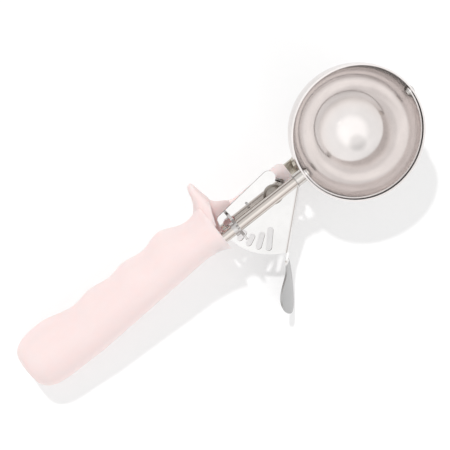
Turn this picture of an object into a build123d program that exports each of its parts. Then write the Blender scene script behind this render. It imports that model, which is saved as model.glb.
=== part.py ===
"""Lever ice cream scoop: a thumb lever turns a drive shaft, whose blade sweeps the bowl clean.

Sizes are in millimetres. Every piece is modelled in tool axes:
  origin  centre of the bowl's sphere, on the axis of the drive shaft
  +X      along the shaft, from the handle to the bowl
  +Y      towards the finger side of the handle, away from the thumb lever
  +Z      out of the bowl's mouth
At the end each piece is turned to lie as the tool does on a bench: on the bowl's bottom, the butt
of the handle and the edge of the thumb leaf. The row's origin is the centre of the bowl's rim.
"""

import math
import os

from build123d import *

# Bowl
BOWL_R = 35.0
BOWL_WALL = 0.9
LIP_HEIGHT = 3.5
BOWL_INNER_R = BOWL_R - BOWL_WALL

# Fits: radial gap of a running shaft, gap of a pressed or riveted seat, gap beside a moving face
RUN_GAP = 0.05
SEAT_GAP = 0.02
SIDE_GAP = 0.3

# Drive shaft and its bearings
SHAFT_R = 2.85
JOURNAL_R = 2.0
TENON_FLAT = 1.4
COLLAR_R = 3.5
COLLAR_LENGTH = 4.3
BUSH_WALL = 0.8
THRUST_WASHER = 0.5
NEAR_WASHER_T = 0.5
REAR_BUSH_R = 3.4
REAR_BUSH_LENGTH = 6.0
SHAFT_TAIL = REAR_BUSH_LENGTH - 1
COLLAR_BACK_X = -BOWL_R - COLLAR_LENGTH

# Scraper blade
BLADE_T = 0.7
BLADE_GAP = 0.35
BLADE_HALF_WIDTH = 5.5
BLADE_EYE_R = 3.1
BLADE_DIP = 6.0
BLADE_OUTER_R = BOWL_INNER_R - BLADE_GAP
BLADE_INNER_R = BLADE_OUTER_R - BLADE_T
EYE_OUT_X = BLADE_OUTER_R - 0.06
EYE_IN_X = BLADE_INNER_R - 0.06
FAR_PIN_R = 1.5
FAR_PIN_PLAY = 0.12
FAR_WASHER_T = 0.5
PEEN_HEIGHT = 0.6

# Sector, pinion and pivot. Angles are measured at the pivot from the shaft's axis, towards the leaf.
PIVOT_TO_COLLAR = 12.9
PINION_ARM = 24.6
PINION_TO_GRIP = 9.0
SHEET = 1.0
SECTOR_DROP = 6.15
SECTOR_RIM = 1.9
SLOT_PITCH = 11.25
FIRST_SLOT = -7.5
SLOT_WIDTH = 3.3
SLOT_BEYOND_ARM = 4.9
SLOT_SHORT_OF_ARM = (1.6, 1.6, 1.6, 2.1, 4.6, 7.6)
HUB_R = 6.75
TONGUE_X, TONGUE_Y, TONGUE_R = 3.1, 8.35, 3.6
TOP_EDGE_SLOPE = 5.7
SECTOR_CORNER_R = 2.2
PINION_TEETH = 8
PINION_ROOT_R = 4.6
PINION_TIP_R = 8.0
PINION_T = 1.4
TOOTH_ROOT_HALF = 1.3
TOOTH_TIP_HALF = 0.6
PINION_HUB_R = 3.9
PINION_HUB_LENGTH = 2.2
PIVOT_X = COLLAR_BACK_X - PIVOT_TO_COLLAR
PINION_X = PIVOT_X - PINION_ARM
SLOT_OUTER_R = PINION_ARM + SLOT_BEYOND_ARM
SLOT_INNER_R = [PINION_ARM - short for short in SLOT_SHORT_OF_ARM]
SECTOR_R = SLOT_OUTER_R + SECTOR_RIM
SECTOR_TOP = -SECTOR_DROP + SHEET / 2
SECTOR_BOTTOM = -SECTOR_DROP - SHEET / 2

# Rolled flange and thumb leaf, as seen from above, from the pivot
FLANGE_START = (13.3, -6.1)
FLANGE_ANGLE = 43.8
FLANGE_LENGTH = 34.8
ROLL_R = 2.5
LEG_START = 2.7
LEG_END = 5.8
LEAF_ROOT = (-16.0, -32.2)
LEAF_ANGLE = 58.7
LEAF_LENGTH = 28.1
LEAF_LEAN = 31.4
LEAF_TOP_HALF = 9.0
LEAF_LOW_HALF = 10.4
LEAF_DISH_R = 34.0

# Pivot stack and return spring
RIVET_R = 2.0
RIVET_HEAD_R = 3.9
RIVET_HEAD_HEIGHT = 1.5
PIVOT_WASHER_R = 5.2
PIVOT_WASHER_T = 0.5
SPOOL_R = 6.0
SPRING_WIRE = 1.2
SPRING_R = 7.6
SPRING_COILS = 2
SPRING_FACETS = 25
SPRING_HOOK = (-13.55, 4.8)
SPRING_HOOK_RISE = 1.9
SPRING_LEG_ANGLE = 250.0
SPRING_LEG_LENGTH = 13.0
PIN_R = 1.0
BACKING_R = 4.6
BACKING_T = 0.8

# Neck, bracket and grip. The grip's stations run from its front face back to the butt.
NECK_TOP = -10.5
NECK_HEIGHT = 8.0
NECK_WIDTH = 15.2
NECK_Y = 1.0
NECK_END_GAP = 3.5
NECK_END_TAPER = 3.0
NECK_CORNER_R = 3.6
SPRING_SEAT_R = 8.9
TANG_T = 2.2
TANG_WIDTH = 10.4
TANG_LENGTH = 22.0
SADDLE_T = 1.5
SADDLE_WIDTH = 11.6
SADDLE_TOP, SADDLE_BOTTOM = -8.5, -22.0
BRACKET_RIVET_R = 1.5
BRACKET_RIVET_OFFSET = 7.5
GRIP_LENGTH = 117.8
GRIP_Z = -4.5
GRIP_HALF_HEIGHT = 12.3
FIRST_GROOVE = 13.7
GROOVE_PITCH = 22.0
GROOVE_Y = 19.4
INDEX_GROOVE_Y = 18.0
FIRST_CREST_Y = 22.1
CREST_Y = 20.9
BULGE_Y = 23.0
BUTT_LENGTH = 22.0
THUMB_Y_FRONT = -4.4
THUMB_Y_BACK = -8.0
FLARE_Y = -8.0
HORN_TIP = (3.1, 30.7)
HORN_Z = -7.5
SECTOR_ROOM = 2.0

# Where the lying tool touches the bench: on the leaf in its own plane, and from the butt's centre
LEAF_REST = (17.39, -9.89, 1.27)
BUTT_REST = (11.0, -4.85, -11.61)

NECK_Z = NECK_TOP - NECK_HEIGHT / 2
NECK_BOTTOM = NECK_TOP - NECK_HEIGHT
NECK_END_X = -BOWL_R - NECK_END_GAP
GRIP_FRONT_X = PINION_X - PINION_TO_GRIP
GRIP_END_X = GRIP_FRONT_X - GRIP_LENGTH
FLANGE_DIRECTION = Vector(1, 0).rotate(Axis.Z, 180 + FLANGE_ANGLE)
LEAF_DIRECTION = Vector(1, 0).rotate(Axis.Z, 180 + LEAF_ANGLE)


def rod(start, end, radius):
    """A round rod between two points."""
    start, end = Vector(start), Vector(end)
    line = end - start
    return Plane(start, z_dir=line) * Cylinder(
        radius, line.length, align=(Align.CENTER, Align.CENTER, Align.MIN)
    )


def along_x(x_start, x_end, radius):
    """A round bar on the shaft's axis."""
    return rod((x_start, 0, 0), (x_end, 0, 0), radius)


def upright(x, y, z_low, z_high, radius):
    """A round bar parallel to +Z."""
    return rod((x, y, z_low), (x, y, z_high), radius)


def ring(x, y, z_low, z_high, outer_r, inner_r):
    """A flat washer or sleeve parallel to +Z."""
    return upright(x, y, z_low, z_high, outer_r) - upright(x, y, z_low, z_high, inner_r)


def across(x, y, z):
    """Plane across the shaft, its own axes pointing along +Y and +Z."""
    return Plane((x, y, z), x_dir=(0, 1, 0), z_dir=(1, 0, 0))


# ---------------------------------------------------------------- bowl and what is fixed to it


def bowl():
    """Thin hemisphere with a short straight lip, holed for the shaft and the far pivot."""
    half_section = make_face(
        Line((0, -BOWL_INNER_R), (0, -BOWL_R))
        + CenterArc((0, 0), BOWL_R, -90, 90)
        + Polyline((BOWL_R, 0), (BOWL_R, LIP_HEIGHT), (BOWL_INNER_R, LIP_HEIGHT), (BOWL_INNER_R, 0))
        + CenterArc((0, 0), BOWL_INNER_R, -90, 90)
    )
    shell = revolve(Plane.XZ * half_section, Axis.Z)
    near_hole = along_x(-BOWL_R - 1, 0, JOURNAL_R + RUN_GAP)
    far_hole = along_x(0, BOWL_R + 1, FAR_PIN_R + SEAT_GAP)
    return shell - near_hole - far_hole


def bowl_form(offset):
    """Solid form of the bowl and its lip, grown by offset, for saddle cuts."""
    radius = BOWL_R + offset
    return Sphere(radius) + upright(0, 0, 0, 2 * LIP_HEIGHT, radius)


def bowl_collar():
    """Short tube that ends in a saddle on the bowl's wall."""
    bore_r = JOURNAL_R + RUN_GAP + BUSH_WALL + SEAT_GAP
    tube = along_x(COLLAR_BACK_X, -BOWL_R + 2, COLLAR_R) - along_x(COLLAR_BACK_X, -BOWL_R + 2, bore_r)
    return tube - bowl_form(SEAT_GAP)


def collar_bush():
    """Bearing sleeve inside the collar."""
    bore_r = JOURNAL_R + RUN_GAP
    sleeve = along_x(COLLAR_BACK_X, -BOWL_R + 2, bore_r + BUSH_WALL)
    return sleeve - along_x(COLLAR_BACK_X, -BOWL_R + 2, bore_r) - bowl_form(SEAT_GAP)


def bowl_bracket():
    """Saddle that is welded under the bowl, with a flat tang for the neck."""
    saddle = Sphere(BOWL_R + SADDLE_T) - bowl_form(SEAT_GAP)
    height = SADDLE_TOP - SADDLE_BOTTOM
    window = Pos(-BOWL_R, NECK_Y, (SADDLE_TOP + SADDLE_BOTTOM) / 2) * extrude(
        across(0, 0, 0) * RectangleRounded(SADDLE_WIDTH, height, 3.0), BOWL_R / 2, both=True
    )
    tang_back = NECK_END_X - TANG_LENGTH
    tang = Pos((tang_back - BOWL_R / 2) / 2, NECK_Y, NECK_Z) * Box(
        -BOWL_R / 2 - tang_back, TANG_WIDTH, TANG_T
    )
    bracket = (saddle & window) + (tang - bowl_form(SEAT_GAP))
    for x, radius in tang_rivets():
        bracket -= upright(x, NECK_Y if radius < RIVET_R else 0, NECK_BOTTOM, NECK_TOP, radius + SEAT_GAP)
    return bracket


def tang_rivets():
    """Places and shank radii of the three rivets through neck and tang."""
    return (
        (PIVOT_X - BRACKET_RIVET_OFFSET, BRACKET_RIVET_R),
        (PIVOT_X, RIVET_R),
        (PIVOT_X + BRACKET_RIVET_OFFSET, BRACKET_RIVET_R),
    )


def bracket_rivets():
    """Two rivets with domed heads under the neck and flush heads above."""
    rivets = []
    for x, radius in (tang_rivets()[0], tang_rivets()[2]):
        foot_z = NECK_BOTTOM - SEAT_GAP
        shank = upright(x, NECK_Y, foot_z, NECK_TOP - SEAT_GAP, radius)
        rivets.append((shank + dome(x, NECK_Y, foot_z, 1.8 * radius, -1.1)).solid())
    return Compound(rivets)


def dome(x, y, z, radius, height):
    """Low domed rivet head standing on z, upwards for a positive height."""
    ball_r = (radius**2 + height**2) / (2 * abs(height))
    sign = math.copysign(1, height)
    ball = Pos(x, y, z + height - sign * ball_r) * Sphere(ball_r)
    slab = Pos(x, y, z + height / 2) * Box(3 * radius, 3 * radius, abs(height))
    return ball & slab


def far_pivot_pin():
    """Rivet through the far wall: domed head outside, shank for the blade's eye, peened end."""
    head_x = BOWL_R + SEAT_GAP
    end_x = EYE_IN_X - FAR_WASHER_T - FAR_PIN_PLAY
    shank = along_x(end_x, head_x, FAR_PIN_R)
    peen = along_x(end_x - PEEN_HEIGHT, end_x, FAR_PIN_R + 0.7)
    head = Rot(0, 90, 0) * dome(0, 0, head_x, 2 * FAR_PIN_R, 1.1)
    return shank + peen + head


def far_washer():
    """Thin washer between the blade's far eye and the pin's peened end."""
    x_low = EYE_IN_X - FAR_WASHER_T - FAR_PIN_PLAY + SEAT_GAP
    x_high = x_low + FAR_WASHER_T
    return along_x(x_low, x_high, BLADE_EYE_R - 0.2) - along_x(x_low, x_high, FAR_PIN_R + SEAT_GAP)


# ---------------------------------------------------------------- drive: shaft, pinion, blade


def drive_shaft():
    """Shaft with a front journal, a two-flat tenon for the blade and a peened end."""
    shoulder_x = COLLAR_BACK_X - THRUST_WASHER - SIDE_GAP
    tenon_x = -EYE_OUT_X - SEAT_GAP
    tenon_end = -EYE_IN_X + NEAR_WASHER_T + 2 * SEAT_GAP
    shaft = along_x(GRIP_FRONT_X - SHAFT_TAIL, shoulder_x, SHAFT_R)
    journal = along_x(shoulder_x, tenon_x, JOURNAL_R)
    two_flat = Rot(BLADE_DIP, 0, 0) * Box(4 * BOWL_R, 4 * JOURNAL_R, 2 * TENON_FLAT)
    tenon = along_x(tenon_x, tenon_end, JOURNAL_R) & two_flat
    peen = along_x(tenon_end, tenon_end + PEEN_HEIGHT, JOURNAL_R + 0.4)
    tail = chamfer(shaft.edges().group_by(Axis.X)[0], 0.4)
    return tail + journal + tenon + peen


def thrust_washer():
    """Washer on the journal, against the collar."""
    x_high = COLLAR_BACK_X - SEAT_GAP
    bore = along_x(x_high - THRUST_WASHER, x_high, JOURNAL_R + RUN_GAP)
    return along_x(x_high - THRUST_WASHER, x_high, COLLAR_R + 0.1) - bore


def near_washer():
    """Washer on the tenon, under the peened end, inside the blade's near eye."""
    x_low = -EYE_IN_X + SEAT_GAP
    x_high = x_low + NEAR_WASHER_T
    return along_x(x_low, x_high, BLADE_EYE_R - 0.1) - along_x(x_low, x_high, JOURNAL_R + SEAT_GAP)


def pinion():
    """Star wheel with tapered, round-tipped teeth on a short hub."""
    tooth = make_hull(
        [
            *Polyline((-TOOTH_ROOT_HALF, PINION_ROOT_R - 1), (TOOTH_ROOT_HALF, PINION_ROOT_R - 1)).edges(),
            *(Pos(0, PINION_TIP_R - TOOTH_TIP_HALF) * Circle(TOOTH_TIP_HALF)).edges(),
        ]
    )
    # One tooth stands short of straight down by as much as the first working slot is short of it.
    lead = (FIRST_SLOT + SLOT_PITCH) * 360 / (SLOT_PITCH * PINION_TEETH)
    star = Circle(PINION_ROOT_R)
    for number in range(PINION_TEETH):
        star += Rot(0, 0, 180 - lead + number * 360 / PINION_TEETH) * tooth
    wheel = extrude(across(PINION_X, 0, 0) * star, PINION_T / 2, both=True)
    hub = along_x(PINION_X - PINION_T / 2 - PINION_HUB_LENGTH, PINION_X, PINION_HUB_R)
    return wheel + hub - along_x(GRIP_FRONT_X, 0, SHAFT_R + SEAT_GAP)


def scraper_blade():
    """Curved strip just inside the bowl's wall, at rest along the lever side, with flat end eyes."""
    reach = EYE_OUT_X
    upper = ThreePointArc((-reach, BLADE_EYE_R), (0, BLADE_HALF_WIDTH), (reach, BLADE_EYE_R))
    lower = ThreePointArc((reach, -BLADE_EYE_R), (0, -BLADE_HALF_WIDTH), (-reach, -BLADE_EYE_R))
    ends = Line((reach, BLADE_EYE_R), (reach, -BLADE_EYE_R)) + Line((-reach, -BLADE_EYE_R), (-reach, BLADE_EYE_R))
    outline = make_face(upper + lower + ends)
    slab = extrude(Plane.XZ * outline, 2 * BOWL_R)
    shell = Sphere(BLADE_OUTER_R) - Sphere(BLADE_INNER_R)
    strip = shell & slab
    near_eye = along_x(-EYE_OUT_X, -EYE_IN_X, BLADE_EYE_R)
    far_eye = along_x(EYE_IN_X, EYE_OUT_X, BLADE_EYE_R)
    blade = strip + near_eye + far_eye - along_x(-EYE_IN_X, EYE_IN_X, BLADE_EYE_R)
    two_flat = along_x(-BOWL_R, 0, JOURNAL_R + SEAT_GAP) & Box(
        4 * BOWL_R, 4 * JOURNAL_R, 2 * (TENON_FLAT + SEAT_GAP)
    )
    blade = blade - two_flat - along_x(0, BOWL_R, FAR_PIN_R + RUN_GAP)
    return Rot(BLADE_DIP, 0, 0) * blade


# ---------------------------------------------------------------- lever: sector, flange and leaf


def flange_point(distance, inward=0.0):
    """Point on the flange's outer line, seen from above, moved towards the sector by inward."""
    side = FLANGE_DIRECTION.rotate(Axis.Z, -90)
    return Vector(*FLANGE_START) + FLANGE_DIRECTION * distance + side * inward


def sector_outline():
    """Flat outline of the sector about the pivot, with its hub, tongue and slots."""
    slope = math.tan(math.radians(TOP_EDGE_SLOPE))
    top_x = TONGUE_X - TONGUE_R * math.sin(math.radians(TOP_EDGE_SLOPE))
    top_y = TONGUE_Y + TONGUE_R * math.cos(math.radians(TOP_EDGE_SLOPE))
    far_x = -1.2 * SECTOR_R
    edge_start = flange_point(0, ROLL_R)
    edge_end = flange_point(1.4 * SECTOR_R, ROLL_R)
    hub_angle = math.atan2(edge_start.Y, edge_start.X) + math.acos(HUB_R / edge_start.length)
    hub_touch = (HUB_R * math.cos(hub_angle), HUB_R * math.sin(hub_angle))
    wedge = Polygon(
        (far_x, top_y + (far_x - top_x) * slope),
        (top_x, top_y),
        (TONGUE_X, TONGUE_Y),
        hub_touch,
        (edge_start.X, edge_start.Y),
        (edge_end.X, edge_end.Y),
        (far_x, edge_end.Y),
        align=None,
    )
    body = Circle(SECTOR_R) & wedge
    corner = body.vertices().filter_by(lambda v: v.Y > 0).sort_by(Axis.X)[0]
    body = fillet(corner, SECTOR_CORNER_R)
    outline = body + Circle(HUB_R) + Pos(TONGUE_X, TONGUE_Y) * Circle(TONGUE_R)
    for number, inner_r in enumerate(SLOT_INNER_R):
        slot = Pos(-(SLOT_OUTER_R + inner_r) / 2, 0) * SlotOverall(SLOT_OUTER_R - inner_r, SLOT_WIDTH)
        outline -= Rot(0, 0, FIRST_SLOT + number * SLOT_PITCH) * slot
    outline -= Pos(*SPRING_HOOK) * Circle(SPRING_WIRE / 2 + 2 * RUN_GAP)
    return outline - Circle(RIVET_R + RUN_GAP)


def flange():
    """Edge of the sector rolled down along the arm, with a leg that deepens towards the leaf."""
    start = flange_point(0, ROLL_R)
    section_plane = Plane(
        (start.X, start.Y, SECTOR_TOP - ROLL_R), x_dir=FLANGE_DIRECTION.rotate(Axis.Z, 90), z_dir=FLANGE_DIRECTION
    )
    quarter = Circle(ROLL_R) - Circle(ROLL_R - SHEET)
    up = 1 if section_plane.y_dir.Z > 0 else -1
    quarter &= Pos(ROLL_R, up * ROLL_R) * Rectangle(2 * ROLL_R, 2 * ROLL_R)
    roll = extrude(section_plane * quarter, FLANGE_LENGTH)
    leg_plane = Plane(
        flange_point(0) + Vector(0, 0, SECTOR_TOP - ROLL_R), x_dir=FLANGE_DIRECTION, z_dir=section_plane.x_dir
    )
    down = -1 if leg_plane.y_dir.Z > 0 else 1
    leg_outline = Polygon(
        (0, 0), (FLANGE_LENGTH, 0), (FLANGE_LENGTH, down * (LEG_END - ROLL_R)), (0, down * (LEG_START - ROLL_R)), align=None
    )
    return roll + extrude(leg_plane * leg_outline, -SHEET)


def leaf_plane():
    """Plane of the thumb leaf: along the leaf, and up its lean towards the handle."""
    inward = LEAF_DIRECTION.rotate(Axis.Z, -90)
    up_the_leaf = inward * math.sin(math.radians(LEAF_LEAN)) + Vector(0, 0, math.cos(math.radians(LEAF_LEAN)))
    return Plane((*LEAF_ROOT, -SECTOR_DROP), x_dir=LEAF_DIRECTION, z_dir=LEAF_DIRECTION.cross(up_the_leaf))


def thumb_leaf():
    """Egg-shaped thumb rest, dished across its width."""
    length, top, low = LEAF_LENGTH, LEAF_TOP_HALF, -LEAF_LOW_HALF
    edge = Spline(
        (0, 0.2), (0.2 * length, 0.1 * top), (0.44 * length, 0.74 * top), (0.66 * length, top),
        (0.88 * length, 0.72 * top), (length, -0.1 * top), (0.93 * length, 0.52 * low),
        (0.7 * length, 0.88 * low), (0.48 * length, low), (0.27 * length, 0.82 * low), (0, 0.5 * low),
    )  # fmt: skip
    outline = make_face(edge + Line((0, 0.5 * low), (0, 0.2)))
    plane = leaf_plane()
    slab = extrude(plane * outline, LEAF_DISH_R / 3, both=True)
    axis_plane = Plane(plane.origin, x_dir=plane.y_dir, z_dir=plane.x_dir)
    middle = (top + low) / 2
    dish = Pos(0, 0, 0) * (Circle(LEAF_DISH_R + SHEET) - Circle(LEAF_DISH_R))
    dish = axis_plane * (Pos(middle, LEAF_DISH_R) * dish)
    shell = extrude(dish, 2 * length, both=True)
    return slab & shell


def leaf_root():
    """Short twist of the sheet from the end of the flange's leg to the leaf."""
    leg_height = LEG_END - ROLL_R + SHEET
    end = flange_point(FLANGE_LENGTH - 0.5, SHEET / 2)
    leg_face = Plane(
        (end.X, end.Y, SECTOR_TOP - LEG_END + leg_height / 2), x_dir=(0, 0, 1), z_dir=FLANGE_DIRECTION
    ) * Rectangle(leg_height, SHEET)
    plane = leaf_plane()
    low = -LEAF_LOW_HALF
    target = plane.from_local_coords((3.0, 0.2 * low, -SHEET / 2))
    leaf_face = Plane(target, x_dir=plane.y_dir, z_dir=LEAF_DIRECTION) * Rectangle(-0.5 * low, 0.8 * SHEET)
    return loft([leg_face, leaf_face], ruled=True)


def thumb_lever():
    """One pressing: slotted sector, rolled flange and thumb leaf."""
    plate = extrude(Plane((0, 0, SECTOR_BOTTOM)) * sector_outline(), SHEET)
    return Pos(PIVOT_X, 0, 0) * (plate + flange() + leaf_root() + thumb_leaf())


# ---------------------------------------------------------------- pivot stack and spring


def pivot_rivet():
    """Rivet on which the lever turns, peened under the neck."""
    head_z = SECTOR_TOP + RUN_GAP + PIVOT_WASHER_T + SEAT_GAP
    foot_z = NECK_BOTTOM - BACKING_T - 2 * SEAT_GAP
    shank = upright(PIVOT_X, 0, foot_z, head_z, RIVET_R)
    return shank + dome(PIVOT_X, 0, head_z, RIVET_HEAD_R, RIVET_HEAD_HEIGHT) + dome(PIVOT_X, 0, foot_z, 3.2, -1.1)


def pivot_washer():
    """Washer under the rivet's head, on top of the sector."""
    low = SECTOR_TOP + RUN_GAP
    return ring(PIVOT_X, 0, low, low + PIVOT_WASHER_T, PIVOT_WASHER_R, RIVET_R + SEAT_GAP)


def pivot_spool():
    """Flanged spacer between neck and sector, which also centres the spring."""
    low, high = NECK_TOP + SEAT_GAP, SECTOR_BOTTOM - RUN_GAP
    return ring(PIVOT_X, 0, low, high, SPOOL_R, RIVET_R + SEAT_GAP)


def pivot_backing_washer():
    """Washer under the neck, on the rivet's lower end."""
    high = NECK_BOTTOM - SEAT_GAP
    return ring(PIVOT_X, 0, high - BACKING_T, high, BACKING_R, RIVET_R + SEAT_GAP)


def return_spring():
    """Torsion spring: a leg against the post, the coil, and a hook that comes up through the sector."""
    wire_r = SPRING_WIRE / 2
    low, high = NECK_TOP + RUN_GAP + wire_r, SECTOR_BOTTOM - 0.25 - wire_r
    hook_angle = math.degrees(math.atan2(SPRING_HOOK[1], SPRING_HOOK[0]))
    leave_angle = hook_angle - math.degrees(math.acos(SPRING_R / math.hypot(*SPRING_HOOK)))
    sweep_angle = SPRING_COILS * 360 + leave_angle - SPRING_LEG_ANGLE

    def coil_point(share):
        angle = math.radians(SPRING_LEG_ANGLE + share * sweep_angle)
        return Vector(SPRING_R * math.cos(angle), SPRING_R * math.sin(angle), low + share * (high - low))

    coil = [coil_point(number / SPRING_FACETS) for number in range(SPRING_FACETS + 1)]
    leg_angle = math.radians(SPRING_LEG_ANGLE)
    leg_end = coil[0] + Vector(math.sin(leg_angle), -math.cos(leg_angle)) * SPRING_LEG_LENGTH
    elbow = Vector(*SPRING_HOOK, high)
    hook_end = elbow + Vector(0, 0, SECTOR_TOP + SPRING_HOOK_RISE - high)
    section = Plane(leg_end, z_dir=coil[0] - leg_end) * Circle(wire_r)
    path = Polyline(leg_end, *coil, elbow, hook_end)
    return Pos(PIVOT_X, 0, 0) * sweep(section, path=path, transition=Transition.RIGHT)


def post_place():
    """Place of the spring post, beside the spring's fixed leg, from the pivot."""
    angle = math.radians(SPRING_LEG_ANGLE)
    start = Vector(math.cos(angle), math.sin(angle)) * SPRING_R
    direction = Vector(math.sin(angle), -math.cos(angle))
    inward = direction.rotate(Axis.Z, -90)
    return start + direction * (SPRING_LEG_LENGTH - 3) + inward * (SPRING_WIRE / 2 + PIN_R + RUN_GAP)


def stop_place():
    """Place of the stop pin, against the sector's bowl-side edge, from the pivot."""
    corner = flange_point(0, ROLL_R)
    angle = math.atan2(corner.Y, corner.X) + math.acos(HUB_R / corner.length)
    normal = Vector(math.cos(angle), math.sin(angle))
    touch = normal * HUB_R
    return touch + (corner - touch) * 0.8 + normal * (PIN_R + 2 * RUN_GAP)


def neck_pin(place, z_high):
    """Round-ended steel pin pressed into the neck's top."""
    pin = upright(PIVOT_X + place.X, place.Y, NECK_TOP - 2.6, z_high, PIN_R)
    return chamfer(pin.edges().group_by(Axis.Z)[-1], 0.3)


def spring_post():
    """Pin that holds the spring's fixed leg."""
    return neck_pin(post_place(), SECTOR_BOTTOM - SIDE_GAP)


def stop_pin():
    """Pin on which the lever rests."""
    return neck_pin(stop_place(), SECTOR_TOP + SIDE_GAP)


# ---------------------------------------------------------------- handle


def grip():
    """Oval grip lofted through its finger grooves, with a flared front and a rounded butt."""
    stations = [(0, FLARE_Y, INDEX_GROOVE_Y + 1.5, 0.99), (3.0, -6.2, INDEX_GROOVE_Y + 0.6, 0.97)]
    valleys = [INDEX_GROOVE_Y, GROOVE_Y, GROOVE_Y, GROOVE_Y]
    crests = [FIRST_CREST_Y, CREST_Y, CREST_Y]
    last = FIRST_GROOVE + 3 * GROOVE_PITCH
    for number, valley in enumerate(valleys):
        distance = FIRST_GROOVE + number * GROOVE_PITCH
        share = (distance - FIRST_GROOVE) / (last - FIRST_GROOVE)
        stations.append((distance, THUMB_Y_FRONT + share * (THUMB_Y_BACK - THUMB_Y_FRONT), valley, 0.93 + 0.05 * share))
        if number < len(crests):
            share = (distance + GROOVE_PITCH / 2 - FIRST_GROOVE) / (last - FIRST_GROOVE)
            thumb_y = THUMB_Y_FRONT + share * (THUMB_Y_BACK - THUMB_Y_FRONT)
            stations.append((distance + GROOVE_PITCH / 2, thumb_y, crests[number], 0.94 + 0.05 * share))
    stations += [
        (GRIP_LENGTH - BUTT_LENGTH, THUMB_Y_BACK, BULGE_Y, 1.0),
        (GRIP_LENGTH - BUTT_LENGTH / 2, THUMB_Y_BACK + 0.4, BULGE_Y, 1.0),
        (GRIP_LENGTH - 4.5, THUMB_Y_BACK + 2.2, BULGE_Y - 1.8, 0.9),
        (GRIP_LENGTH - 1.2, THUMB_Y_BACK + 4.9, BULGE_Y - 4.6, 0.72),
        (GRIP_LENGTH, THUMB_Y_BACK + 8.4, BULGE_Y - 8.6, 0.46),
    ]
    sections = []
    for distance, thumb_y, finger_y, height in stations:
        oval = Ellipse((finger_y - thumb_y) / 2, height * GRIP_HALF_HEIGHT)
        sections.append(across(GRIP_FRONT_X - distance, (finger_y + thumb_y) / 2, GRIP_Z) * oval)
    return loft(sections)


def horn():
    """Tapered guard for the index finger, growing out of the front of the grip."""
    tip_x, tip_y = GRIP_FRONT_X + HORN_TIP[0], HORN_TIP[1]
    stations = [
        (tip_y - 23.0, tip_x - 2.6, 12.4, 8.6),
        (tip_y - 16.0, tip_x - 2.2, 8.4, 7.6),
        (tip_y - 11.9, tip_x - 1.4, 5.0, 6.6),
        (tip_y - 8.7, tip_x - 0.7, 3.6, 5.6),
        (tip_y - 4.7, tip_x - 0.5, 2.6, 4.3),
        (tip_y - 1.2, tip_x - 0.3, 1.75, 3.0),
        (tip_y, tip_x, 0.9, 1.7),
    ]
    sections = []
    for y, x, half_x, half_z in stations:
        sections.append(Plane((x, y, HORN_Z), x_dir=(1, 0, 0), z_dir=(0, 1, 0)) * Ellipse(half_x, half_z))
    return loft(sections)


def neck():
    """Bar under the mechanism, growing out of the grip, with a round seat for the spring."""
    stations = [
        (GRIP_FRONT_X - 20, NECK_Y + 5.6, NECK_TOP, 11.0, 3.0, 1.2),
        (GRIP_FRONT_X + 3, NECK_Y + 3.6, NECK_Z, NECK_WIDTH + 7.5, NECK_HEIGHT, NECK_CORNER_R),
        (GRIP_FRONT_X + 9, NECK_Y + 2.2, NECK_Z, NECK_WIDTH + 4.6, NECK_HEIGHT, NECK_CORNER_R),
        (GRIP_FRONT_X + 14.5, NECK_Y + 0.4, NECK_Z, NECK_WIDTH + 0.9, NECK_HEIGHT, NECK_CORNER_R),
        (GRIP_FRONT_X + 20, NECK_Y, NECK_Z, NECK_WIDTH, NECK_HEIGHT, NECK_CORNER_R),
        (NECK_END_X - NECK_END_TAPER, NECK_Y, NECK_Z, NECK_WIDTH, NECK_HEIGHT, NECK_CORNER_R),
        (NECK_END_X, NECK_Y, NECK_Z, NECK_WIDTH - NECK_END_TAPER, NECK_HEIGHT, NECK_CORNER_R),
    ]
    sections = []
    for x, y, z, width, height, corner_r in stations:
        sections.append(across(x, y, z) * RectangleRounded(width, height, corner_r))
    bar = loft(sections[:2], ruled=True) + loft(sections[1:5]) + loft(sections[4:6]) + loft(sections[5:])
    seat = upright(PIVOT_X, 0, NECK_TOP - NECK_CORNER_R, NECK_TOP, SPRING_SEAT_R)
    return bar + seat


def handle():
    """The one moulding: grip, horn and neck, cut for the sector, bearings, tang and rivets."""
    moulding = grip() + horn() + neck()
    moulding -= upright(PIVOT_X, 0, NECK_TOP, 4 * GRIP_HALF_HEIGHT, SECTOR_R + SECTOR_ROOM)
    moulding -= along_x(GRIP_FRONT_X - REAR_BUSH_LENGTH, 0, REAR_BUSH_R + SEAT_GAP)
    tang_back = NECK_END_X - TANG_LENGTH - SEAT_GAP
    tang_slot = Box(-tang_back, TANG_WIDTH + 2 * SEAT_GAP, TANG_T + 2 * SEAT_GAP)
    moulding -= Pos(tang_back / 2, NECK_Y, NECK_Z) * tang_slot
    for x, radius in tang_rivets():
        y = NECK_Y if radius < RIVET_R else 0
        moulding -= upright(x, y, NECK_BOTTOM - 1, NECK_TOP + 1, radius + SEAT_GAP)
    for place in (post_place(), stop_place()):
        moulding -= upright(
            PIVOT_X + place.X, place.Y, NECK_TOP - 2.6 - SEAT_GAP, NECK_TOP + 1, PIN_R + SEAT_GAP
        )
    return moulding


def shaft_bush():
    """Bearing for the rear end of the shaft, flush with the front of the grip."""
    x_low = GRIP_FRONT_X - REAR_BUSH_LENGTH + SEAT_GAP
    sleeve = along_x(x_low, GRIP_FRONT_X, REAR_BUSH_R)
    return sleeve - along_x(GRIP_FRONT_X - SHAFT_TAIL - SIDE_GAP, GRIP_FRONT_X, SHAFT_R + RUN_GAP)


# ---------------------------------------------------------------- lying on a bench


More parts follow.
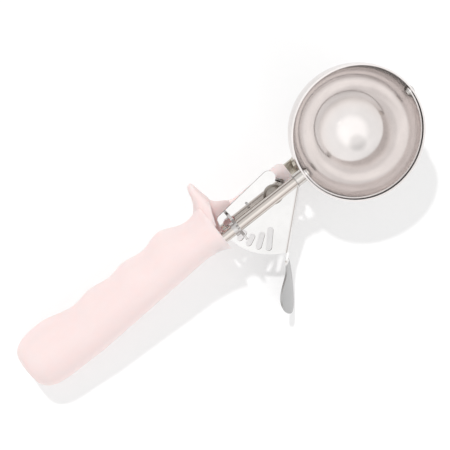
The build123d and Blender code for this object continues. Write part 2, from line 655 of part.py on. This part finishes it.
def bench_plane():
    """The row's frame in tool axes: it stands on the bowl, the butt and the leaf's low edge."""
    leaf_low = leaf_plane().from_local_coords(LEAF_REST) + Vector(PIVOT_X, 0, 0)
    butt_low = Vector(GRIP_END_X, (BULGE_Y + THUMB_Y_BACK) / 2, GRIP_Z) + Vector(*BUTT_REST)
    # The upward unit normal n has n.leaf_low = n.butt_low = -BOWL_R.
    a, b = leaf_low, butt_low
    across_ab = a.cross(b)
    gram = a.dot(a) * b.dot(b) - a.dot(b) ** 2
    in_plane = a * ((b.dot(b) - a.dot(b)) / gram) + b * ((a.dot(a) - a.dot(b)) / gram)
    in_plane *= -BOWL_R
    rest = math.sqrt(1 - in_plane.dot(in_plane)) / across_ab.length
    normal = in_plane + across_ab * (rest if across_ab.Z > 0 else -rest)
    shaft = Vector(1, 0, 0)
    return Plane((0, 0, LIP_HEIGHT), x_dir=shaft - normal * shaft.dot(normal), z_dir=normal)


PIECES = {
    "handle": handle,
    "shaft_bush": shaft_bush,
    "bowl": bowl,
    "bowl_collar": bowl_collar,
    "collar_bush": collar_bush,
    "bowl_bracket": bowl_bracket,
    "bracket_rivets": bracket_rivets,
    "far_pivot_pin": far_pivot_pin,
    "far_washer": far_washer,
    "drive_shaft": drive_shaft,
    "thrust_washer": thrust_washer,
    "near_washer": near_washer,
    "pinion": pinion,
    "scraper_blade": scraper_blade,
    "thumb_lever": thumb_lever,
    "pivot_rivet": pivot_rivet,
    "pivot_washer": pivot_washer,
    "pivot_spool": pivot_spool,
    "pivot_backing_washer": pivot_backing_washer,
    "return_spring": return_spring,
    "spring_post": spring_post,
    "stop_pin": stop_pin,
}


def main():
    """Builds every piece and writes it to parts/, lying on the bench."""
    os.makedirs("parts", exist_ok=True)
    to_row = bench_plane().location.inverse()
    for name, build in PIECES.items():
        shape = build()
        export_step(to_row * shape, os.path.join("parts", name + ".step"))


main()
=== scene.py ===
"""Dresses the lever ice cream scoop: finishes, studio, lamps and camera."""

import logging
import math
from dataclasses import dataclass, field
from enum import Enum
from typing import Any

import bpy
from mathutils import Matrix, Vector


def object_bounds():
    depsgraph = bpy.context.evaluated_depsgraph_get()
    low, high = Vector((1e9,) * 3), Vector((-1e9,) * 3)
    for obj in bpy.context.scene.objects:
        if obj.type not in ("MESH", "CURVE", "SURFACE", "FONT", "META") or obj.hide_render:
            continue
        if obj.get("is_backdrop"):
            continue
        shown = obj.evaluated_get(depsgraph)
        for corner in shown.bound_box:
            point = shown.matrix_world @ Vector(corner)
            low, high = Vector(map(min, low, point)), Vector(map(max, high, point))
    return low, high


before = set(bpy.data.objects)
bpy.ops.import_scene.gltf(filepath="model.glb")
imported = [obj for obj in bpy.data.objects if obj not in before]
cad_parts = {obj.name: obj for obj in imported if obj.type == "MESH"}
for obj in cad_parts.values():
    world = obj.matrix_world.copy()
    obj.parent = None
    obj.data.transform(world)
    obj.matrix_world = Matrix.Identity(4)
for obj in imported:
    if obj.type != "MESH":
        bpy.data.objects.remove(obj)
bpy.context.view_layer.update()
LOG = logging.getLogger("scoop")
Triple = tuple[float, float, float]

# The scoop lies tilted on the table. These are its own axes, and how far its shaft's axis lies under
# the origin along the second, in metres.
SCOOP_SIDE: Triple = (-0.02704, 0.966192, 0.2564)
SCOOP_UP: Triple = (-0.101335, -0.257822, 0.960864)
SHAFT_DROP = 0.0035

WHITE: Triple = (1.0, 1.0, 1.0)
NOISE_MEAN = 0.5
SENSOR_WIDTH = 36.0


# ---------------------------------------------------------------- shader graphs


class Signal:
    """One output socket of a shader graph, with arithmetic that adds Math nodes."""

    def __init__(self, graph: "Graph", socket: bpy.types.NodeSocket) -> None:
        """Wraps a socket.

        Args:
            graph: The graph that holds the socket.
            socket: The output socket.
        """
        self.graph = graph
        self.socket = socket

    def _math(self, operation: str, first: Any, second: Any) -> "Signal":
        """Adds a Math node.

        Args:
            operation: The Math node's operation.
            first: Its first value or signal.
            second: Its second value or signal.

        Returns:
            The node's result.
        """
        return self.graph.add("ShaderNodeMath", {"operation": operation}, {0: first, 1: second})

    def __add__(self, other: Any) -> "Signal":
        """Sum."""
        return self._math("ADD", self, other)

    __radd__ = __add__

    def __sub__(self, other: Any) -> "Signal":
        """Difference."""
        return self._math("SUBTRACT", self, other)

    def __rsub__(self, other: Any) -> "Signal":
        """Difference, with the signal on the right."""
        return self._math("SUBTRACT", other, self)

    def __mul__(self, other: Any) -> "Signal":
        """Product."""
        return self._math("MULTIPLY", self, other)

    __rmul__ = __mul__

    def __pow__(self, other: Any) -> "Signal":
        """Power."""
        return self._math("POWER", self, other)

    def clamped(self) -> "Signal":
        """The signal held between 0 and 1."""
        return self.graph.add("ShaderNodeClamp", {}, {"Value": self})

    def ramp(self, low: float, high: float) -> "Signal":
        """Smooth step from 0 at low to 1 at high.

        Args:
            low: Where the step starts.
            high: Where the step ends.

        Returns:
            The stepped signal.
        """
        inputs = {"Value": self, "From Min": low, "From Max": high}
        return self.graph.add("ShaderNodeMapRange", {"interpolation_type": "SMOOTHSTEP"}, inputs)


@dataclass(frozen=True)
class Speckle:
    """Settings of a noise.

    Attributes:
        scale: Features in one metre.
        detail: Octaves.
        grit: Weight of the finer octaves.
    """

    scale: float
    detail: float
    grit: float


class Graph:
    """A node tree that is filled by code."""

    def __init__(self, tree: bpy.types.NodeTree) -> None:
        """Empties the tree.

        Args:
            tree: The node tree of a material or of the world.
        """
        self.tree = tree
        tree.nodes.clear()

    def add(
        self, kind: str, settings: dict[str, Any], inputs: dict[Any, Any], output: Any = 0
    ) -> Signal:
        """Adds one node, sets it and links it.

        Args:
            kind: The node's type name.
            settings: Its settings, set before its sockets.
            inputs: Values or signals by socket name or number.
            output: The name or number of the output to return.

        Returns:
            The output that is asked for, or an empty signal from an output node.
        """
        node = self.tree.nodes.new(kind)
        for name, value in settings.items():
            setattr(node, name, value)
        for name, value in inputs.items():
            socket = node.inputs[name]
            if isinstance(value, Signal):
                self.tree.links.new(value.socket, socket)
            elif socket.type == "RGBA" and not isinstance(value, (int, float)):
                socket.default_value = (*value, 1.0)
            else:
                socket.default_value = value
        return Signal(self, node.outputs[output] if len(node.outputs) else None)

    def place(self) -> Signal:
        """Object coordinates, in metres."""
        return self.add("ShaderNodeTexCoord", {}, {}, "Object")

    def noise(self, place: Signal, speckle: Speckle) -> Signal:
        """Noise between 0 and 1.

        Args:
            place: Coordinates.
            speckle: Settings of the noise.

        Returns:
            The noise.
        """
        inputs = {
            "Vector": place,
            "Scale": speckle.scale,
            "Detail": speckle.detail,
            "Roughness": speckle.grit,
        }
        return self.add("ShaderNodeTexNoise", {"noise_dimensions": "3D"}, inputs)

    def mix(self, share: Any, first: Any, second: Any) -> Signal:
        """Mixes two colours.

        Args:
            share: Share of the second colour.
            first: Colour at 0.
            second: Colour at 1.

        Returns:
            The mixed colour.
        """
        return self.add("ShaderNodeMix", {"data_type": "RGBA"}, {0: share, 6: first, 7: second}, 2)

    def stretched(self, place: Signal, scale: Triple, turn: Triple = (0.0, 0.0, 0.0)) -> Signal:
        """Coordinates turned and stretched by a Mapping node.

        Args:
            place: Coordinates.
            scale: Stretch of each axis.
            turn: Turn round each axis, in radians.

        Returns:
            The new coordinates.
        """
        inputs = {"Vector": place, "Rotation": turn, "Scale": scale}
        return self.add("ShaderNodeMapping", {}, inputs)

    def facing(self, direction: Signal, axis: Triple) -> Signal:
        """How far a vector reaches along an axis, which is their cosine if both have length 1.

        Args:
            direction: The vector.
            axis: The axis, of length 1.

        Returns:
            The reach.
        """
        inputs = {0: direction, 1: axis}
        return self.add("ShaderNodeVectorMath", {"operation": "DOT_PRODUCT"}, inputs, 1)

    def ray(self, kind: str) -> Signal:
        """One output of the Light Path node.

        Args:
            kind: The output's name.

        Returns:
            1 for such a ray, else 0.
        """
        return self.add("ShaderNodeLightPath", {}, {}, kind)

    def bump(self, height: Signal, depth: float) -> Signal:
        """Normal bent by a height.

        Args:
            height: Height between 0 and 1.
            depth: Depth of the relief, in metres.

        Returns:
            The bent normal.
        """
        inputs = {"Height": height, "Distance": depth, "Strength": 1.0}
        return self.add("ShaderNodeBump", {}, inputs)


# ---------------------------------------------------------------- finishes


class Lay(Enum):
    """Direction in which a metal was polished, as the stretch of its polishing marks."""

    ALONG_SHAFT = (0.06, 1.0, 1.0)
    ROUND_SHAFT = (1.0, 0.05, 0.05)
    ROUND_MOUTH = (0.15, 0.15, 1.0)
    ACROSS = (0.1, 1.0, 1.0)
    NONE = (1.0, 1.0, 1.0)


@dataclass(frozen=True)
class Metal:
    """A polished or satin metal.

    Attributes:
        name: The material's name.
        colour: Its reflection colour.
        roughness: Mean roughness.
        lay: Direction of the polishing marks.
        relief: Depth of the polishing marks, in metres.
        patchiness: How far the roughness varies.
        purity: Share of the surface that is bare metal.
        dulling: Brightness of the duller patches, where 1 is the metal's own.
        patches: Noise of the duller patches.
        patch_fade: Levels of that noise between which a patch ends.
        marks: Noise of the polishing marks.
        mark_share: How far the marks vary the roughness, where 1 is as far as the patches.
        across_turn: Angle of the marks that run across the sheet, in degrees.
    """

    name: str
    colour: Triple
    roughness: float
    lay: Lay
    relief: float
    patchiness: float
    purity: float = 1.0
    dulling: float = 0.93
    patches: Speckle = Speckle(45.0, 3.0, 0.55)
    patch_fade: tuple[float, float] = (0.35, 0.7)
    marks: Speckle = Speckle(2600.0, 3.0, 0.6)
    mark_share: float = 0.6
    across_turn: float = 38.0

    def _zones(
        self, graph: Graph, place: Signal, tone: Signal, rough: Signal
    ) -> tuple[Signal, Signal]:
        """Colour and roughness of the parts of the piece that are finished in another way.

        Args:
            graph: The material's graph.
            place: Object coordinates.
            tone: Colour of the whole piece.
            rough: Roughness of the whole piece.

        Returns:
            The colour and the roughness.
        """
        return tone, rough

    def _marks(self, graph: Graph, place: Signal) -> Signal:
        """Fine polishing marks along the lay.

        Args:
            graph: The material's graph.
            place: Object coordinates.

        Returns:
            The marks, between 0 and 1.
        """
        turn = math.radians(self.across_turn) if self.lay is Lay.ACROSS else 0.0
        lay = graph.stretched(place, self.lay.value, (0.0, 0.0, turn))
        return graph.noise(lay, self.marks)

    def build(self) -> bpy.types.Material:
        """Builds the material.

        Returns:
            The node material.
        """
        material = bpy.data.materials.new(self.name)
        material.use_nodes = True
        graph = Graph(material.node_tree)
        place = graph.place()
        patches = graph.noise(place, self.patches)
        marks = self._marks(graph, place)
        dull = tuple(self.dulling * channel for channel in self.colour)
        tone = graph.mix(patches.ramp(*self.patch_fade), dull, self.colour)
        rough = self.roughness + (patches - NOISE_MEAN) * self.patchiness
        rough = rough + (marks - NOISE_MEAN) * (self.mark_share * self.patchiness)
        tone, rough = self._zones(graph, place, tone, rough)
        inputs = {
            "Base Color": tone,
            "Metallic": self.purity,
            "Roughness": rough.clamped(),
            "Normal": graph.bump(marks, self.relief),
        }
        surface = graph.add("ShaderNodeBsdfPrincipled", {}, inputs)
        graph.add("ShaderNodeOutputMaterial", {}, {"Surface": surface})
        return material


@dataclass(frozen=True)
class SpunMetal(Metal):
    """Spun sheet, polished brightest at the bottom of the bowl and duller towards its lip.

    Attributes:
        bottom: Height at which the dulling starts, in metres over the shaft's axis.
        lip: Height at which it is full.
        lip_roughness: What the roughness gains at the lip.
    """

    bottom: float = -0.022
    lip: float = 0.001
    lip_roughness: float = 0.10

    def _zones(
        self, graph: Graph, place: Signal, tone: Signal, rough: Signal
    ) -> tuple[Signal, Signal]:
        """Adds roughness towards the lip, with the arguments and results of Metal."""
        height = graph.facing(place, SCOOP_UP) + SHAFT_DROP
        return tone, rough + height.ramp(self.bottom, self.lip) * self.lip_roughness


@dataclass(frozen=True)
class PressedMetal(Metal):
    """Polished sheet with duller cut edges, and a satin thumb leaf.

    Attributes:
        sheet: Height of the flat sheet's middle over the shaft's axis, in metres.
        half_sheet: Half of the sheet's thickness, in metres.
        sheet_fade: Squares of the height over half_sheet between which the darker edge tone, part
            painted shade, ends.
        upright_fade: Squares of the normal's cosine with the sheet's between which it ends.
        fold_side: Direction from the flat sheet to its fold.
        fold_start: Where the fold starts in that direction, in metres from the origin.
        fold_blend: Width of the change there, in metres.
        leaf_start: Where the leaf starts, in metres to the thumb's side of the shaft.
        leaf_blend: Width of the change there, in metres.
        sheared_edge_shade_colour: Colour of the sheared edges, a duller steel tone deepened with
            painted shade.
        leaf_shade_colour: Colour of the leaf, painted shade that stands in for the darker reflection
            it shows.
        leaf_roughness: Roughness of the leaf.
    """

    sheet: float = -0.00615
    half_sheet: float = 0.0005
    sheet_fade: tuple[float, float] = (1.4, 2.4)
    upright_fade: tuple[float, float] = (0.25, 0.7)
    fold_side: Triple = (0.7078, -0.6974, -0.1125)
    fold_start: float = -0.0237
    fold_blend: float = 0.0006
    leaf_start: float = 0.0335
    leaf_blend: float = 0.0015
    # Edge tone: part duller sheared steel, part painted shade. Leaf tone: painted shade.
    sheared_edge_shade_colour: Triple = (0.30, 0.28, 0.26)
    leaf_shade_colour: Triple = (0.48, 0.48, 0.48)
    leaf_roughness: float = 0.36

    def _zones(
        self, graph: Graph, place: Signal, tone: Signal, rough: Signal
    ) -> tuple[Signal, Signal]:
        """Darkens the sheared edges of the flat sheet, partly as painted shade, and paints shade on
        the leaf.

        Args:
            graph: The material's graph.
            place: Object coordinates.
            tone: Colour of the whole piece.
            rough: Roughness of the whole piece.

        Returns:
            The colour and the roughness.
        """
        normal = graph.add("ShaderNodeTexCoord", {}, {}, "Normal")
        upright = 1.0 - (graph.facing(normal, SCOOP_UP) ** 2.0).ramp(*self.upright_fade)
        height = graph.facing(place, SCOOP_UP) + (SHAFT_DROP - self.sheet)
        fade = tuple(square * self.half_sheet**2 for square in self.sheet_fade)
        # Sheared-edge mask: the sheet's thickness walls get a darker tone, part duller sheared steel
        # and part painted shade.
        sheared_edge_and_shade = upright * (1.0 - (height**2.0).ramp(*fade))
        fold = graph.facing(place, self.fold_side)
        sheared_edge_and_shade = sheared_edge_and_shade * (1.0 - fold.ramp(self.fold_start, self.fold_start + self.fold_blend))
        thumb_side = graph.facing(place, SCOOP_SIDE) * -1.0
        leaf = thumb_side.ramp(self.leaf_start, self.leaf_start + self.leaf_blend)
        # The leaf's darker colour is painted shade in place of the darker reflection it shows; only
        # its added roughness is the satin finish.
        tone = graph.mix(leaf, graph.mix(sheared_edge_and_shade, tone, self.sheared_edge_shade_colour), self.leaf_shade_colour)
        return tone, rough + leaf * (self.leaf_roughness - self.roughness)


@dataclass(frozen=True)
class Plastic:
    """A moulded plastic with a fine satin grain.

    Attributes:
        name: The material's name.
        colour: Colour of the open surface.
        deep: Colour of its slightly deeper patches.
        roughness: Mean roughness.
        grain: Noise of the grain.
        grain_relief: Depth of the grain, in metres.
        grain_variation: How far the grain varies the roughness.
        clouds: Noise of the broad patches.
        cloud_variation: How far they vary the roughness.
        flow: Noise of the flow lines.
        flow_stretch: Stretch of the flow lines, along the handle.
        flow_share: Share of the flow lines in the deeper patches.
        patch_fade: Levels between which a deeper patch starts.
        refraction: Index of refraction.
        depth_share: Share of the light that goes into the plastic.
        depth: How far it goes, in metres.
        depth_colour: How far red, green and blue go, where 1 is the depth.
    """

    name: str
    colour: Triple
    deep: Triple
    roughness: float
    grain: Speckle = Speckle(5200.0, 2.0, 0.6)
    grain_relief: float = 6e-6
    grain_variation: float = 0.12
    clouds: Speckle = Speckle(26.0, 2.0, 0.5)
    cloud_variation: float = 0.1
    flow: Speckle = Speckle(160.0, 2.0, 0.5)
    flow_stretch: Triple = (0.2, 1.0, 1.0)
    flow_share: float = 0.4
    patch_fade: tuple[float, float] = (0.38, 0.66)
    refraction: float = 1.47
    depth_share: float = 0.5
    depth: float = 0.005
    depth_colour: Triple = (1.0, 0.7, 0.65)

    def build(self) -> bpy.types.Material:
        """Builds the material.

        Returns:
            The node material.
        """
        material = bpy.data.materials.new(self.name)
        material.use_nodes = True
        graph = Graph(material.node_tree)
        place = graph.place()
        clouds = graph.noise(place, self.clouds)
        grain = graph.noise(place, self.grain)
        flow = graph.noise(graph.stretched(place, self.flow_stretch), self.flow)
        patches = clouds * (1.0 - self.flow_share) + flow * self.flow_share
        tone = graph.mix(patches.ramp(*self.patch_fade), self.colour, self.deep)
        rough = self.roughness + (grain - NOISE_MEAN) * self.grain_variation
        rough = rough + (clouds - NOISE_MEAN) * self.cloud_variation
        inputs = {
            "Base Color": tone,
            "Roughness": rough.clamped(),
            "IOR": self.refraction,
            "Subsurface Weight": self.depth_share,
            "Subsurface Scale": self.depth,
            "Subsurface Radius": self.depth_colour,
            "Normal": graph.bump(grain, self.grain_relief),
        }
        surface = graph.add("ShaderNodeBsdfPrincipled", {}, inputs)
        graph.add("ShaderNodeOutputMaterial", {}, {"Surface": surface})
        return material


Finish = Metal | Plastic
STEEL: Triple = (0.86, 0.85, 0.84)
SPUN_STEEL: Triple = (0.83, 0.79, 0.775)
MIRROR = PressedMetal("polished_sheet", STEEL, 0.09, Lay.ACROSS, 2e-7, 0.04)
SPUN = SpunMetal("spun_bowl_steel", SPUN_STEEL, 0.09, Lay.ROUND_MOUTH, 3e-7, 0.03, 0.88)
STRIP = Metal("rolled_strip_steel", (0.80, 0.77, 0.76), 0.14, Lay.ALONG_SHAFT, 2e-6, 0.05)
GROUND = Metal("ground_bar_steel", (0.68, 0.63, 0.59), 0.12, Lay.ROUND_SHAFT, 5e-7, 0.05)
TUBE = Metal("drawn_tube_steel", (0.70, 0.67, 0.64), 0.18, Lay.ALONG_SHAFT, 2e-6, 0.05)
STAMPED = Metal("stamped_steel", (0.62, 0.60, 0.59), 0.24, Lay.NONE, 4e-6, 0.08)
HEADED = Metal("headed_steel", (0.56, 0.54, 0.52), 0.22, Lay.NONE, 3e-6, 0.06)
PIVOT = Metal("oiled_pivot_steel", (0.36, 0.33, 0.30), 0.26, Lay.NONE, 3e-6, 0.06)
FORMED = Metal("formed_bracket_steel", (0.60, 0.56, 0.49), 0.22, Lay.NONE, 4e-6, 0.08)
WIRE = Metal("spring_wire", (0.42, 0.41, 0.40), 0.24, Lay.NONE, 2e-6, 0.06)
BRASS = Metal("bearing_brass", (0.60, 0.50, 0.34), 0.3, Lay.ROUND_SHAFT, 4e-6, 0.08)
MOULDED = Plastic("pale_pink_moulding", (0.93, 0.78, 0.765), (0.92, 0.765, 0.75), 0.42)


# ---------------------------------------------------------------- sub-assemblies


@dataclass
class SubAssembly:
    """CAD nodes that share a place in the scoop.

    Attributes:
        finishes: Finish of each node.
    """

    finishes: dict[str, Finish] = field(default_factory=dict)

    def dress(self) -> None:
        """Gives each node its finish."""
        for node, finish in self.finishes.items():
            material = bpy.data.materials.get(finish.name) or finish.build()
            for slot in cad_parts[node].material_slots:
                slot.material = material
            LOG.info("dressed %s with %s", node, finish.name)


@dataclass
class Grip(SubAssembly):
    """The moulded handle and the bearing in its front."""

    finishes: dict[str, Finish] = field(
        default_factory=lambda: {"handle": MOULDED, "shaft_bush": BRASS}
    )


@dataclass
class Bowl(SubAssembly):
    """The bowl and what is fixed to it."""

    finishes: dict[str, Finish] = field(
        default_factory=lambda: {
            "bowl": SPUN,
            "bowl_collar": TUBE,
            "collar_bush": BRASS,
            "bowl_bracket": FORMED,
            "bracket_rivets": HEADED,
            "far_pivot_pin": HEADED,
            "far_washer": HEADED,
        }
    )


@dataclass
class Drive(SubAssembly):
    """The shaft, its pinion and the blade that it turns."""

    finishes: dict[str, Finish] = field(
        default_factory=lambda: {
            "drive_shaft": GROUND,
            "pinion": STAMPED,
            "scraper_blade": STRIP,
            "near_washer": HEADED,
            "thrust_washer": HEADED,
        }
    )


@dataclass
class Lever(SubAssembly):
    """The thumb lever with its pivot, spring and stops."""

    finishes: dict[str, Finish] = field(
        default_factory=lambda: {
            "thumb_lever": MIRROR,
            "pivot_rivet": PIVOT,
            "pivot_washer": PIVOT,
            "pivot_spool": PIVOT,
            "pivot_backing_washer": PIVOT,
            "return_spring": WIRE,
            "spring_post": HEADED,
            "stop_pin": HEADED,
        }
    )


# ---------------------------------------------------------------- studio


@dataclass(frozen=True)
class View:
    """The picture's own axes, as the camera stands at rest.

    Attributes:
        toward_camera: Direction from the scoop to the camera.
        shaft: Direction of the drive shaft.
        shaft_turn: Angle of the shaft in the picture, in degrees from its right-hand side.
    """

    toward_camera: Triple = (-0.1227, 0.0353, 0.9918)
    shaft: Triple = (0.9945, 0.0, 0.1049)
    shaft_turn: float = 38.38

    def axes(self) -> tuple[Vector, Vector, Vector]:
        """The picture's axes.

        Returns:
            Right, up and towards the camera.
        """
        toward = Vector(self.toward_camera).normalized()
        shaft = Vector(self.shaft)
        shaft = (shaft - toward * shaft.dot(toward)).normalized()
        right = Matrix.Rotation(math.radians(-self.shaft_turn), 3, toward) @ shaft
        return right, toward.cross(right), toward

    def direction(self, parts: Triple) -> Vector:
        """A direction in the room.

        Args:
            parts: How far it goes right, up and towards the camera.

        Returns:
            The direction, as long as its parts make it.
        """
        right, up, toward = self.axes()
        return right * parts[0] + up * parts[1] + toward * parts[2]


@dataclass(frozen=True)
class Patch:
    """Part of the sky that is lighter or darker than the rest.

    Attributes:
        middle: Its middle: right, up and towards the camera.
        edge: Cosine with the middle at its faint edge.
        full: Cosine with the middle at which it is full.
        gain: What it adds to the brightness.
    """

    middle: Triple
    edge: float
    full: float
    gain: float

    def light(self, graph: Graph, direction: Signal, view: View) -> Signal:
        """What the patch adds in a direction.

        Args:
            graph: The sky's graph.
            direction: Direction into the sky.
            view: The picture's axes.

        Returns:
            The added brightness.
        """
        cosine = graph.facing(direction, tuple(view.direction(self.middle).normalized()))
        return cosine.ramp(self.edge, self.full) * self.gain


@dataclass(frozen=True)
class Sky:
    """White walls all round, seen white, that light the object at a plain level.

    Attributes:
        matt_level: Brightness for matt surfaces, where 1 is white.
        matt_patch: Lighter side for them, low on the thumb side.
        mirrored_level: Brightness that metal mirrors.
        mirrored_patches: Overhead wall, soft box, dim side and a gap between the boxes.
        low_tint: Tint of the low walls in metal.
        tint_fade: Cosines with the overhead between which the tint ends.
    """

    matt_level: float = 0.55
    matt_patch: Patch = Patch((0.63, -0.78, 0.25), -0.1, 0.9, 0.22)
    mirrored_level: float = 0.65
    mirrored_patches: tuple[Patch, ...] = (
        Patch((0.0, 0.0, 1.0), 0.30, 0.60, 0.42),
        Patch((0.05, -0.10, 1.0), 0.84, 0.955, 0.30),
        Patch((-0.63, 0.78, 0.0), 0.45, 0.9, -0.28),
        Patch((-0.11, 0.26, 1.0), 0.945, 1.0, -0.34),
    )
    low_tint: Triple = (1.0, 0.94, 0.91)
    tint_fade: tuple[float, float] = (0.3, 0.8)

    def build(self, view: View) -> None:
        """Builds the world.

        Args:
            view: The picture's axes.
        """
        world = bpy.data.worlds.new("studio_sky")
        bpy.context.scene.world = world
        world.use_nodes = True
        graph = Graph(world.node_tree)
        direction = graph.add("ShaderNodeTexCoord", {}, {}, "Generated")
        mirrored = self.mirrored_level
        for patch in self.mirrored_patches:
            mirrored = mirrored + patch.light(graph, direction, view)
        matt = self.matt_level + self.matt_patch.light(graph, direction, view)
        seen = graph.ray("Is Camera Ray") + graph.ray("Is Transmission Ray")
        glossy = graph.ray("Is Glossy Ray")
        level = (matt + glossy * (mirrored - matt)) * (1.0 - seen) + seen
        overhead = graph.facing(direction, tuple(view.axes()[2]))
        low = glossy * (1.0 - overhead.ramp(*self.tint_fade))
        tint = graph.mix(low, WHITE, self.low_tint)
        glow = graph.add("ShaderNodeBackground", {}, {"Color": tint, "Strength": level})
        graph.add("ShaderNodeOutputWorld", {}, {"Surface": glow})


@dataclass(frozen=True)
class Floor:
    """White floor under the scoop: lit for the object, near white where it is seen.

    Attributes:
        size: Side of the floor, in metres.
        middle: Its middle, in metres.
        colour: Its colour.
        glow: Strength of its own light where it is seen.
        glow_share: Share of that light, the rest being the lit floor with its shadow.
    """

    size: float = 6.0
    middle: tuple[float, float] = (-0.08, 0.0)
    colour: Triple = (0.96, 0.96, 0.96)
    glow: float = 1.18
    glow_share: float = 0.38

    def build(self) -> None:
        """Builds the floor under the scoop's lowest point."""
        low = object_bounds()[0][2]
        bpy.ops.object.select_all(action="DESELECT")
        bpy.ops.mesh.primitive_plane_add(size=self.size, location=(*self.middle, low))
        floor = bpy.context.object
        floor.name = "studio_floor"
        material = bpy.data.materials.new("studio_floor")
        material.use_nodes = True
        graph = Graph(material.node_tree)
        lit = graph.add("ShaderNodeBsdfDiffuse", {}, {"Color": self.colour, "Roughness": 1.0})
        glow = graph.add("ShaderNodeEmission", {}, {"Color": WHITE, "Strength": self.glow})
        rays = ("Is Camera Ray", "Is Transmission Ray", "Is Glossy Ray")
        camera, transmission, glossy = (graph.ray(kind) for kind in rays)
        share = (camera + transmission + glossy) * self.glow_share
        surface = graph.add("ShaderNodeMixShader", {}, {0: share, 1: lit, 2: glow})
        graph.add("ShaderNodeOutputMaterial", {}, {"Surface": surface})
        floor.data.materials.append(material)
        floor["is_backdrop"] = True


@dataclass(frozen=True)
class Lamp:
    """A distant lamp that metal doesn't mirror.

    Attributes:
        name: The lamp's name.
        place: Where it stands: right, up and towards the camera.
        energy: Its strength.
        angle: How wide it looks, in degrees.
    """

    name: str
    place: Triple
    energy: float
    angle: float

    def build(self, view: View) -> None:
        """Builds the lamp.

        Args:
            view: The picture's axes.
        """
        lamp = bpy.data.lights.new(self.name, "SUN")
        lamp.energy = self.energy
        lamp.angle = math.radians(self.angle)
        away = view.direction(self.place)
        holder = bpy.data.objects.new(self.name, lamp)
        bpy.context.scene.collection.objects.link(holder)
        holder.location = away
        holder.rotation_euler = away.to_track_quat("Z", "Y").to_euler()
        holder.visible_glossy = False


@dataclass(frozen=True)
class Camera:
    """Camera high over the grip, with the bowl at the picture's upper right.

    Attributes:
        aim: Point in the picture's centre, in metres.
        width: Width of the picture at that point, in metres.
        distance: Distance from the camera to that point, in metres.
        far_limit: How far it sees, in metres.
    """

    aim: Triple = (-0.08051, 0.0056, -0.01063)
    width: float = 0.22555
    distance: float = 0.684
    far_limit: float = 20.0

    def build(self, view: View) -> None:
        """Builds the camera and makes it the scene's.

        Args:
            view: The picture's axes.
        """
        camera = bpy.data.cameras.new("camera")
        camera.sensor_width = SENSOR_WIDTH
        camera.lens = SENSOR_WIDTH * self.distance / self.width
        camera.clip_end = self.far_limit
        holder = bpy.data.objects.new("camera", camera)
        bpy.context.scene.collection.objects.link(holder)
        holder.location = Vector(self.aim) + view.axes()[2] * self.distance
        holder.rotation_euler = Matrix(view.axes()).transposed().to_euler()
        bpy.context.scene.camera = holder


@dataclass(frozen=True)
class Studio:
    """Floor, sky, lamps and camera.

    Attributes:
        view: The picture's axes.
        floor: The floor.
        sky: The sky.
        lamps: A key lamp at the picture's top left, and a wide low fill on the thumb side.
        camera: The camera.
    """

    view: View = View()
    floor: Floor = Floor()
    sky: Sky = Sky()
    lamps: tuple[Lamp, ...] = (
        Lamp("key_lamp", (-0.33, 0.74, 1.0), 1.42, 3.5),
        Lamp("fill_lamp", (0.63, -0.78, 0.6), 0.55, 50.0),
    )
    camera: Camera = Camera()

    def build(self) -> None:
        """Builds the whole studio."""
        self.floor.build()
        self.sky.build(self.view)
        for lamp in self.lamps:
            lamp.build(self.view)
        self.camera.build(self.view)
        LOG.info("built the studio with %d lamps", len(self.lamps))


def main() -> None:
    """Dresses the scoop's sub-assemblies in order, then builds the studio."""
    logging.basicConfig(level=logging.INFO, format="%(name)s: %(message)s")
    bpy.ops.object.select_all(action="DESELECT")
    bpy.context.scene.view_settings.view_transform = "Standard"
    for part in (Grip(), Bowl(), Drive(), Lever()):
        part.dress()
    Studio().build()


if __name__ == "__main__":
    main()
